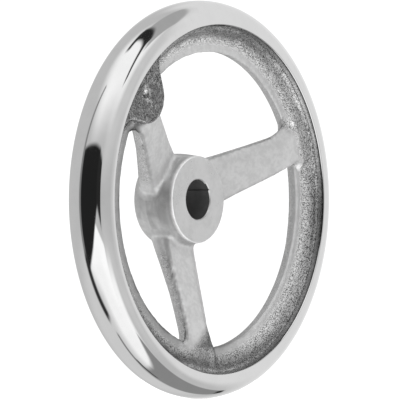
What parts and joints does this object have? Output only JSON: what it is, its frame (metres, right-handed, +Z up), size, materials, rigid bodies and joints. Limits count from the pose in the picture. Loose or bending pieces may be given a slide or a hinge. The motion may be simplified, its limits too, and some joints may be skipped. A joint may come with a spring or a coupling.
{
  "type": "machine handwheel",
  "caption": "Spoked machine handwheel with a polished round rim, spokes dished back to the hub, a keyed bore for a shaft and a bare boss for a grip.",
  "frame": {"origin": "centre of the hub's seat, where the bore's axis meets the face that sits on the machine", "axes": "+Y along the bore, from the operator towards the machine; +Z up; one spoke points 21.1 degrees above +X"},
  "size_m": [0.16, 0.0311, 0.16],
  "materials": {
    "cast_aluminium": "sand-cast channel, boss and spokes, turned hub, mirror-polished rim"
  },
  "bodies": {
    "root": {"handwheel": "cast_aluminium"}
  },
  "joints": []
}
